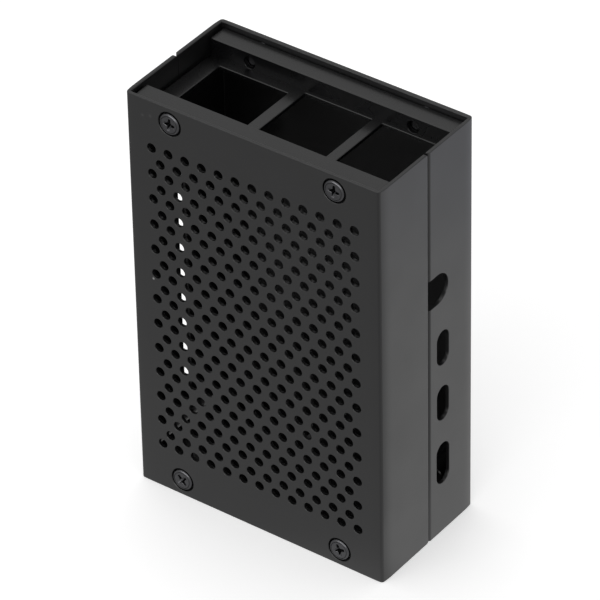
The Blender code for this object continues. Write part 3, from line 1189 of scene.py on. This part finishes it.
    def add_tapped_holes(self, bm: bmesh.types.BMesh, face: Face) -> None:
        """Add the cutters of one bar's tapped holes, countersunk outside for the screws' cones.

        Args:
            bm: Mesh that gets the cutters.
            face: Face whose bar is tapped.
        """
        casing = self.casing
        lip = self.seat_cone
        start = -casing.seat
        end = -self.bars[0] if face is Face.FRONT else -self.bars[1]
        crest = self.tap_radius + self.thread_depth
        profile = [(crest + lip, start + OVERRUN), (crest + lip, start),
                   (self.tap_radius, start - lip)]
        turns = int((start - end - lip) / self.thread_pitch)
        for turn in range(turns):
            height = start - lip - turn * self.thread_pitch
            profile += [(crest, height - self.thread_pitch / 2),
                        (self.tap_radius, height - self.thread_pitch)]
        profile += [(crest, end + self.tap_lip), (crest + self.tap_lip, end),
                    (crest + self.tap_lip, end - OVERRUN / 2)]
        for x, z in casing.screw_places():
            if (z > casing.height / 2) is (self.end is End.PORTS):
                place = Matrix.Translation((x, casing.face_y(face), z)) @ face.facing()
                turned(bm, profile, self.tap_sides, place)


@dataclass
class Screws:
    """The four countersunk screws of one face.

    Attributes:
        casing: Sizes of the case.
        face: Face that they hold.
        turns: Turn of each cross recess in degrees, counterclockwise as seen on the face.
        drift: How far the screws stand off the middles of their clearance holes, along X and Z.
        length: Length with the head.
        head: Diameter of the head, whose top is flush with the face.
        shoulder: Width and height of the chamfer round the head's top.
        bevel: Points of that chamfer, inwards and upwards, as shares of its width and height.
        groove: Width and depth of the turned line inside the chamfer.
        groove_floor: Where the floor of that line begins and ends, as shares of its width.
        land: Straight rim of the head.
        shank: Diameter over the thread.
        tip: Radius of the tip as a share of the radius under the thread.
        thread_pitch: Pitch of the thread.
        thread_depth: Depth of the thread.
        thread_crest: Where its crest begins and ends, as shares of the pitch.
        recess_span: Width of the recess across its arms.
        recess_arm: Width of an arm.
        recess_tip: Where an arm's end begins to round, as shares of its reach and half width.
        recess_root: Corner between two arms, far and near, as shares of an arm's half width.
        recess_depth: Depth of the recess.
        recess_floor: Its size at the bottom as a share of that at its mouth.
        recess_lip: Width and depth of the pressed edge round the recess.
        sides: Sides of the screw.
    """

    casing: Casing
    face: Face
    turns: tuple[float, float, float, float]
    drift: tuple[float, float] = (0.0, 0.0)
    length: float = 4.4 * MM
    head: float = 4.76 * MM
    shoulder: tuple[float, float] = (0.42 * MM, 0.30 * MM)
    bevel: tuple[tuple[float, float], ...] = ((0.05, 0.22), (0.5, 0.66), (0.85, 0.95), (1.0, 1.0))
    groove: tuple[float, float] = (0.20 * MM, 0.12 * MM)
    groove_floor: tuple[float, float] = (0.35, 0.65)
    land: float = 0.12 * MM
    shank: float = 2.5 * MM
    tip: float = 0.7
    thread_pitch: float = 0.5 * MM
    thread_depth: float = 0.16 * MM
    thread_crest: tuple[float, float] = (0.4, 0.55)
    recess_span: float = 2.7 * MM
    recess_arm: float = 0.66 * MM
    recess_tip: tuple[float, float] = (0.94, 0.8)
    recess_root: tuple[float, float] = (1.5, 1.1)
    recess_depth: float = 1.3 * MM
    recess_floor: float = 0.42
    recess_lip: tuple[float, float] = (0.12 * MM, 0.10 * MM)
    sides: int = 40

    def build(self, material: bpy.types.Material) -> bpy.types.Object:
        """Make one screw and set four of them.

        Args:
            material: Their finish.

        Returns:
            One piece with four screws.
        """
        screw = self.one_screw()
        piece = new_piece(self.face.label + "_screws", bmesh.new(), material)
        casing = self.casing
        run_tree(piece, self.setting(), {
            "Screw": screw, "Spread X": casing.screw_spread,
            "Spread Z": casing.height - 2 * casing.screw_inset, "Face Y": casing.face_y(self.face),
            "Middle Z": casing.height / 2, "Drift X": self.drift[0], "Drift Z": self.drift[1],
            "Tilt": math.radians(self.face.value), "Material": material,
            **{f"Turn {number}": math.radians(turn)
               for number, turn in enumerate(self.turns, start=1)}})
        bpy.data.objects.remove(screw, do_unlink=True)
        shade_round(piece, sharp_degrees=40.0)
        return piece

    def one_screw(self) -> bpy.types.Object:
        """Make one screw, pointing down.

        Returns:
            The screw, with the middle of its head's top at the origin.
        """
        shank, head, root = self.shank / 2, self.head / 2, self.shank / 2 - self.thread_depth
        rim_width, rim_height = self.shoulder
        line_width, line_depth = self.groove
        cone_top = -rim_height - self.land
        cone_end = cone_top - (head - shank)
        profile = [(root * self.tip, -self.length), (root, -self.length + self.thread_pitch / 2)]
        turns = int((self.length + cone_end) / self.thread_pitch) - 1
        for turn in range(turns):
            height = -self.length + (turn + 0.5) * self.thread_pitch
            profile += [(shank, height + self.thread_pitch * share) for share in self.thread_crest]
            profile.append((root, height + self.thread_pitch))
        profile += [(root, cone_end - (shank - root)), (shank, cone_end), (head, cone_top),
                    (head, -rim_height)]
        profile += [(head - rim_width * across, rim_height * (up - 1)) for across, up in self.bevel]
        disc = head - rim_width
        profile += [(disc - line_width * share, -line_depth) for share in self.groove_floor]
        profile.append((disc - line_width, 0.0))
        bm = bmesh.new()
        turned(bm, profile, self.sides, Matrix.Identity(4))
        screw = new_piece("screw", bm)
        lip_width, lip_depth = self.recess_lip
        mouth = self.cross(1.0)
        lip = grown(mouth, lip_width)
        rings = [(OVERRUN, lip), (0.0, lip), (-lip_depth, mouth),
                 (-self.recess_depth, self.cross(self.recess_floor))]
        bm = bmesh.new()
        loft(bm, [[Vector((u, v, height)) for u, v in outline] for height, outline in rings])
        cut(screw, bm)
        return screw

    def cross(self, scale: float) -> Outline:
        """Outline of the cross recess with hollow corners between its arms.

        Args:
            scale: Share of the full size.

        Returns:
            Its corners, counterclockwise.
        """
        reach, half_arm = self.recess_span / 2 * scale, self.recess_arm / 2 * math.sqrt(scale)
        end, side = reach * self.recess_tip[0], half_arm * self.recess_tip[1]
        far, near = (half_arm * share for share in self.recess_root)
        quarter = [(end, -side), (reach, 0.0), (end, side), (far, near), (near, far)]
        quarter_turns = [Matrix.Rotation(math.radians(degrees), 2) for degrees in (0, 90, 180, 270)]
        return [tuple(turn @ Vector(point)) for turn in quarter_turns for point in quarter]

    def setting(self) -> bpy.types.NodeTree:
        """Make the tree that sets a screw into each of the four holes, each with its own turn.

        Returns:
            The Geometry Nodes tree.
        """
        floats = ["Spread X", "Spread Z", "Face Y", "Middle Z", "Drift X", "Drift Z", "Tilt"]
        floats += [f"Turn {number}" for number in range(1, 5)]
        tree, values = geometry_tree("screw_setting", {
            "Screw": "Object", "Material": "Material", **dict.fromkeys(floats, "Float")})
        given = values.outputs
        tool = add_node(tree, "GeometryNodeObjectInfo", inputs={"Object": given["Screw"]})
        tilted = add_node(tree, "ShaderNodeCombineXYZ", inputs={"X": given["Tilt"]})
        middle = add_node(tree, "ShaderNodeMath", {"operation": "ADD"},
                          {0: given["Middle Z"], 1: given["Drift Z"]}).outputs[0]
        joined = add_node(tree, "GeometryNodeJoinGeometry")
        signs = ((-1, -1), (1, -1), (-1, 1), (1, 1))
        for number, (x_sign, z_sign) in enumerate(signs, start=1):
            x = add_node(tree, "ShaderNodeMath", {"operation": "MULTIPLY_ADD"},
                         {0: given["Spread X"], 1: x_sign / 2, 2: given["Drift X"]}).outputs[0]
            z = add_node(tree, "ShaderNodeMath", {"operation": "MULTIPLY_ADD"},
                         {0: given["Spread Z"], 1: z_sign / 2, 2: middle}).outputs[0]
            corner = add_node(tree, "ShaderNodeCombineXYZ", inputs={"X": x, "Y": given["Face Y"], "Z": z})
            spin = add_node(tree, "ShaderNodeCombineXYZ", inputs={"Z": given[f"Turn {number}"]})
            spun = add_node(tree, "GeometryNodeTransform", inputs={
                "Geometry": tool.outputs["Geometry"], "Rotation": spin.outputs[0]})
            placed = add_node(tree, "GeometryNodeTransform", inputs={
                "Geometry": spun.outputs[0], "Rotation": tilted.outputs[0],
                "Translation": corner.outputs[0]})
            tree.links.new(placed.outputs[0], joined.inputs[0])
        close_tree(tree, joined.outputs[0], given["Material"])
        return tree


@dataclass
class Standoffs:
    """The four threaded spacers that are riveted into the back cover.

    Attributes:
        casing: Sizes of the case.
        rivet: Diameter of the rivet end.
        rivet_sink: Depth of its end below the face.
        bore: Diameter of the thread's crests.
        bore_depth: Depth of the threaded bore.
        drill_point: Radius and height of the bore's pointed floor, as shares of the bore's radius.
        thread_pitch: Pitch of the thread.
        thread_depth: Depth of the thread.
        edge_break: Chamfer of the rims.
        dimple: Mouth, floor and middle of the punched dimple in the rivet's end, as shares of its
            radius.
        sides: Sides of a spacer.
    """

    casing: Casing
    rivet: float = 3.6 * MM
    rivet_sink: float = 0.1 * MM
    bore: float = 2.1 * MM
    bore_depth: float = 5.0 * MM
    drill_point: tuple[float, float] = (0.2, 0.5)
    thread_pitch: float = 0.45 * MM
    thread_depth: float = 0.13 * MM
    edge_break: float = 0.2 * MM
    dimple: tuple[float, float, float] = (0.55, 0.4, 0.1)
    sides: int = 40

    def build(self, material: bpy.types.Material) -> bpy.types.Object:
        """Turn and set the spacers.

        Args:
            material: Their finish.

        Returns:
            One piece with four spacers.
        """
        bm = bmesh.new()
        for node in by_number("standoff"):
            low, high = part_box(node)
            place = Matrix.Translation(((low.x + high.x) / 2, self.casing.back, (low.z + high.z) / 2))
            turned(bm, self.profile(low.y - self.casing.back, (high.x - low.x) / 2), self.sides,
                   place @ Face.BACK.facing())
        piece = new_piece("board_standoffs", bm, material)
        shade_round(piece)
        return piece

    def profile(self, top: float, body: float) -> Outline:
        """Half section of a spacer, from the floor of its bore over the top to the rivet.

        Args:
            top: Height of its top, below the back face.
            body: Radius of its body.

        Returns:
            Radius and height of each corner.
        """
        lip, bore = self.edge_break, self.bore / 2
        root = bore + self.thread_depth
        shoulder = -self.casing.seat
        floor = top + self.bore_depth
        points = [(bore * self.drill_point[0], floor + bore * self.drill_point[1]), (bore, floor)]
        turns = int((self.bore_depth - 2 * lip) / self.thread_pitch)
        for turn in range(turns):
            height = floor - turn * self.thread_pitch
            points += [(root, height - self.thread_pitch / 2), (bore, height - self.thread_pitch)]
        rivet, end = self.rivet / 2, -self.rivet_sink
        mouth, ground, middle = (rivet * share for share in self.dimple)
        return points + [
            (bore, top + lip), (root + lip / 2, top), (body - lip, top), (body, top + lip),
            (body, shoulder - lip / 2), (body - lip / 2, shoulder), (rivet, shoulder),
            (rivet, end - lip / 2), (rivet - lip / 2, end), (mouth, end), (ground, end - lip),
            (middle, end - lip)]


# Studio

@dataclass(frozen=True)
class Softbox:
    """A rectangular lamp that faces the middle of the case.

    Attributes:
        name: Name of the lamp.
        place: Where it hangs.
        span: Its width and height.
        power: Its power in watts.
    """

    name: str
    place: tuple[float, float, float]
    span: tuple[float, float]
    power: float


@dataclass
class Studio:
    """Camera, floor, lamps and surroundings.

    Attributes:
        azimuth: Turn of the camera round the case from the front, towards +X, in degrees.
        elevation: Angle of its view below level in degrees.
        roll: Turn of the picture in degrees.
        aim: Point that the optical axis passes through.
        distance: Distance of the camera from that point.
        lens: Focal length of the camera in millimetres.
        sensor: Width of its sensor in millimetres.
        clip: Nearest and farthest distance that it sees.
        floor_span: Side of the square floor.
        paper: Colour of the floor.
        surround: Brightness of the surroundings above the floor.
        floor_glow: Light that the camera alone sees on the floor, so that it is white outside the shadow.
        sweep: Direction across the floor from the front left to the back right.
        painted_reflection_ramp: Distance along that direction and brightness of the floor as the case
        mirrors it, a painted reflection of the floor's light, dimmer in front and far behind.
        painted_reflection_spots: Painted light on the floor that the foot of the front face mirrors,
        painted shade in a wedge at the right that the front right fold mirrors, and a painted shadow
        under the case.
        lamps: The lamps.
    """

    azimuth: float = 36.739
    elevation: float = 36.389
    roll: float = -1.150
    aim: tuple[float, float, float] = (-0.60 * MM, 0.0, 47.18 * MM)
    distance: float = 1.03683
    lens: float = 317.13
    sensor: float = 36.0
    clip: tuple[float, float] = (0.01, 20.0)
    floor_span: float = 3.0
    paper: str = "#f4f4f4"
    surround: float = 0.75
    floor_glow: float = 0.35
    sweep: tuple[float, float, float] = (0.3, 0.954, 0.0)
    # Painted reflection: how bright the floor glows for the case's reflections, along the sweep
    painted_reflection_ramp: tuple[tuple[float, str], ...] = (
        (-150 * MM, "#b5b5b5"), (-75 * MM, "#bdbdbd"), (-35 * MM, "#c4c4c4"), (-18 * MM, "#c8c8c8"),
        (-5 * MM, "#e7e7e7"), (5 * MM, "#ffffff"), (100 * MM, "#ffffff"), (124 * MM, "#ecedf3"),
        (300 * MM, "#ccced8"))
    # Painted light at the front left, painted shade at the right, and a painted shadow under the case,
    # all in the floor's reflection only
    painted_reflection_spots: tuple[Mark, ...] = (Mark((-62 * MM, -28 * MM, 0.0), 60 * MM, "#ffffff", 0.15),
                               Mark((60 * MM, -8 * MM, 0.0), 20 * MM, "#c4c4c4", 1.0),
                               Mark((98 * MM, 2 * MM, 0.0), 46 * MM, "#c4c4c4", 1.0),
                               Mark((138 * MM, 12 * MM, 0.0), 68 * MM, "#c4c4c4", 1.0),
                               Mark((0.0, 4 * MM, 0.0), 18 * MM, "#1c1c1c", 1.0))
    lamps: tuple[Softbox, ...] = (
        Softbox("front_strip_softbox", (0.02, -1.10, 0.46), (1.5, 0.45), 6.0),
        Softbox("overhead_softbox", (-0.30, 0.20, 1.35), (0.9, 0.9), 3.0),
        Softbox("left_softbox", (-0.75, -0.88, 1.00), (0.5, 0.5), 0.5))

    def build(self) -> None:
        """Set up the whole studio."""
        scene = bpy.context.scene
        scene.view_settings.view_transform = "Standard"
        scene.camera = self.camera()
        self.floor()
        self.world()
        for softbox in self.lamps:
            self.hang(softbox)

    def camera(self) -> bpy.types.Object:
        """Set the camera up at the photograph's place.

        Returns:
            The camera.
        """
        azimuth, elevation, roll = map(math.radians, (self.azimuth, self.elevation, self.roll))
        level_reach = math.cos(elevation)
        forward = Vector((-math.sin(azimuth) * level_reach, math.cos(azimuth) * level_reach,
                          -math.sin(elevation)))
        level = forward.cross(Vector((0, 0, 1))).normalized()
        upright = level.cross(forward)
        right = level * math.cos(roll) + upright * math.sin(roll)
        up = right.cross(forward)
        data = bpy.data.cameras.new("camera")
        data.sensor_width = self.sensor
        data.lens = self.lens
        data.clip_start, data.clip_end = self.clip
        item = add_object("camera", data)
        turn = Matrix((right, up, -forward)).transposed().to_4x4()
        item.matrix_world = Matrix.Translation(Vector(self.aim) - forward * self.distance) @ turn
        return item

    def floor(self) -> None:
        """White floor that shows pure white to the camera and keeps the case's soft shadow."""
        half = self.floor_span / 2
        bm = bmesh.new()
        signs = ((-1, -1), (1, -1), (1, 1), (-1, 1))
        bm.faces.new([bm.verts.new((x * half, y * half, 0.0)) for x, y in signs])
        material = bpy.data.materials.new("white_paper_floor")
        tree = empty_tree(material)
        paper = add_node(tree, "ShaderNodeBsdfDiffuse", inputs={"Color": linear(self.paper)})
        rays = add_node(tree, "ShaderNodeLightPath").outputs
        glow = add_node(tree, "ShaderNodeMath", {"operation": "MULTIPLY"},
                        {0: rays["Is Camera Ray"], 1: self.floor_glow}).outputs[0]
        light = add_node(tree, "ShaderNodeEmission", inputs={"Strength": glow})
        lit = add_node(tree, "ShaderNodeAddShader", inputs={0: paper.outputs[0], 1: light.outputs[0]})
        # Glossy and transmission rays see a glow of painted reflection: painted light, painted shade and
        # a painted shadow under the case
        mirror = add_node(tree, "ShaderNodeEmission", inputs={"Color": self.painted_floor_reflection(tree)})
        seen = add_node(tree, "ShaderNodeMath", {"operation": "MAXIMUM"},
                        {0: rays["Is Glossy Ray"], 1: rays["Is Transmission Ray"]}).outputs[0]
        mixed = add_node(tree, "ShaderNodeMixShader",
                         inputs={0: seen, 1: lit.outputs[0], 2: mirror.outputs[0]})
        add_node(tree, "ShaderNodeOutputMaterial", inputs={"Surface": mixed.outputs[0]})
        floor = new_piece("floor", bm, material)

    def painted_floor_reflection(self, tree: bpy.types.NodeTree) -> bpy.types.NodeSocket:
        """Add the painted reflection of the floor's light that the case mirrors, dimmer in front and far
        behind.

        Args:
            tree: Tree of the floor's material.

        Returns:
            Socket of the painted reflection.
        """
        near, far = self.painted_reflection_ramp[0][0], self.painted_reflection_ramp[-1][0]
        where = add_node(tree, "ShaderNodeTexCoord").outputs["Object"]
        along = add_node(tree, "ShaderNodeVectorMath", {"operation": "DOT_PRODUCT"},
                         {0: where, 1: self.sweep}).outputs["Value"]
        share = add_node(tree, "ShaderNodeMapRange",
                         inputs={"Value": along, "From Min": near, "From Max": far}).outputs[0]
        ramp = add_node(tree, "ShaderNodeValToRGB", inputs={0: share})
        ramp.color_ramp.interpolation = "EASE"
        stops = ramp.color_ramp.elements
        for distance, tone in self.painted_reflection_ramp[1:-1]:
            stops.new((distance - near) / (far - near)).color = linear(tone)
        stops[0].color = linear(self.painted_reflection_ramp[0][1])
        stops[-1].color = linear(self.painted_reflection_ramp[-1][1])
        tone = ramp.outputs["Color"]
        for spot in self.painted_reflection_spots:
            tone = add_mark(tree, where, tone, spot)
        return tone

    def world(self) -> None:
        """White surroundings: full white to the camera, a plain soft light for the rest."""
        world = bpy.data.worlds.new("white_surroundings")
        bpy.context.scene.world = world
        tree = empty_tree(world)
        rays = add_node(tree, "ShaderNodeLightPath").outputs
        strength = add_node(tree, "ShaderNodeMapRange", inputs={
            "Value": rays["Is Camera Ray"], "To Min": self.surround, "To Max": 1.0})
        white = add_node(tree, "ShaderNodeBackground", inputs={"Strength": strength.outputs[0]})
        add_node(tree, "ShaderNodeOutputWorld", inputs={"Surface": white.outputs[0]})

    def hang(self, softbox: Softbox) -> None:
        """Hang a lamp.

        Args:
            softbox: The lamp.
        """
        data = bpy.data.lights.new(softbox.name, "AREA")
        data.shape = "RECTANGLE"
        data.size, data.size_y = softbox.span
        data.energy = softbox.power
        item = add_object(softbox.name, data)
        item.visible_camera = False
        item.location = softbox.place
        aim = Vector(self.aim) - Vector(softbox.place)
        item.rotation_euler = aim.to_track_quat("-Z", "Y").to_euler()


# Black anodised aluminium sheet, blasted before the bath: a fine even matt that mirrors white
# surroundings as a soft grey, stronger at a flat angle. The grain is drawn at 0.3 mm, coarser than the
# real 0.05 mm, so that it shows. Its marks are the photo's bright speck near the left edge and the two
# faint smudges beside the upper left screw.
BLASTED_SHEET = MetalFinish(
    name="black_anodised_blasted_sheet", colour="#09090a", colour_light="#0e0e0f", metallic=0.0,
    roughness=0.38, roughness_swing=0.02, grain=0.30 * MM, grain_height=0.0025 * MM, cloud=9 * MM,
    ior=1.6,
    marks=(Mark((-24.74 * MM, -15.5 * MM, 51.64 * MM), 0.35 * MM, "#9a9a9a", 0.6),
           Mark((-25.82 * MM, -15.5 * MM, 90.03 * MM), 0.5 * MM, "#6a6a6a", 0.09),
           Mark((-23.99 * MM, -15.5 * MM, 90.51 * MM), 0.5 * MM, "#6a6a6a", 0.09)))

# Black anodised extruded channel: die lines along its length, in a black darker than the sheet's,
# which is painted shade for its walls inside the end recesses.
EXTRUDED_CHANNEL = MetalFinish(
    name="black_anodised_extruded_channel", colour="#050506", colour_light="#09090a", metallic=0.0,
    roughness=0.27, roughness_swing=0.02, grain=0.25 * MM, grain_height=0.0015 * MM, cloud=6 * MM,
    stretch=(20.0, 1.0, 1.0), ior=1.6)

# Black zinc plated steel screws: bare metal under a thin dark conversion coat, so that they mirror in
# grey and show tool marks.
BLACK_ZINC_SCREW = MetalFinish(
    name="black_zinc_plated_screw", colour="#525254", colour_light="#5c5c5e", metallic=1.0,
    roughness=0.30, roughness_swing=0.05, grain=0.15 * MM, grain_height=0.004 * MM, cloud=1.5 * MM)

# Turned aluminium standoffs with the same black coat: a smoother satin with a fine grain.
TURNED_STANDOFF = MetalFinish(
    name="black_anodised_turned_standoff", colour="#0b0b0c", colour_light="#101011", metallic=0.0,
    roughness=0.32, roughness_swing=0.03, grain=0.12 * MM, grain_height=0.003 * MM, cloud=2 * MM,
    ior=1.6)

# Turns in degrees and drift of each face's screws. The front ones are the photo's.
SCREW_SETTINGS = {Face.FRONT: ((42.0, 18.0, -6.0, -6.0), (-0.16 * MM, -0.18 * MM)),
                  Face.BACK: ((25.0, -33.0, 8.0, 61.0), (0.0, 0.0))}


def dress(piece: bpy.types.Object, slot: str, *nodes: str) -> None:
    """Let a finished piece stand for its CAD nodes and report it.

    Args:
        piece: The finished piece.
        slot: The record's material slot that it is finished in; not used.
        nodes: CAD nodes that it stands for.
    """
    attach(piece, "root")
    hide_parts(*nodes)
    LOG.info("%s: %d faces, for %s", piece.name, len(piece.data.polygons), ", ".join(nodes))


def main() -> None:
    """Build every piece, then the studio."""
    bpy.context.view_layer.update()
    casing = Casing()
    sheet = BLASTED_SHEET.build()
    channel = EXTRUDED_CHANNEL.build()
    plated = BLACK_ZINC_SCREW.build()
    spacer = TURNED_STANDOFF.build()
    dress(FrontCover(casing, Face.FRONT).build(sheet), "cover_sheet", "front_cover")
    dress(BackCover(casing, Face.BACK).build(sheet), "cover_sheet", "back_cover")
    for end in End:
        end_frame = EndFrame(casing, end)
        dress(end_frame.build(channel), "end_channel", end_frame.node)
    for face, (turns, drift) in SCREW_SETTINGS.items():
        screws = Screws(casing, face, turns, drift).build(plated)
        dress(screws, "screw", *by_number(face.label + "_screw"))
    dress(Standoffs(casing).build(spacer), "standoff", *by_number("standoff"))
    Studio().build()


if __name__ == "__main__":
    logging.basicConfig(level=logging.INFO, format="%(name)s: %(message)s")
    main()
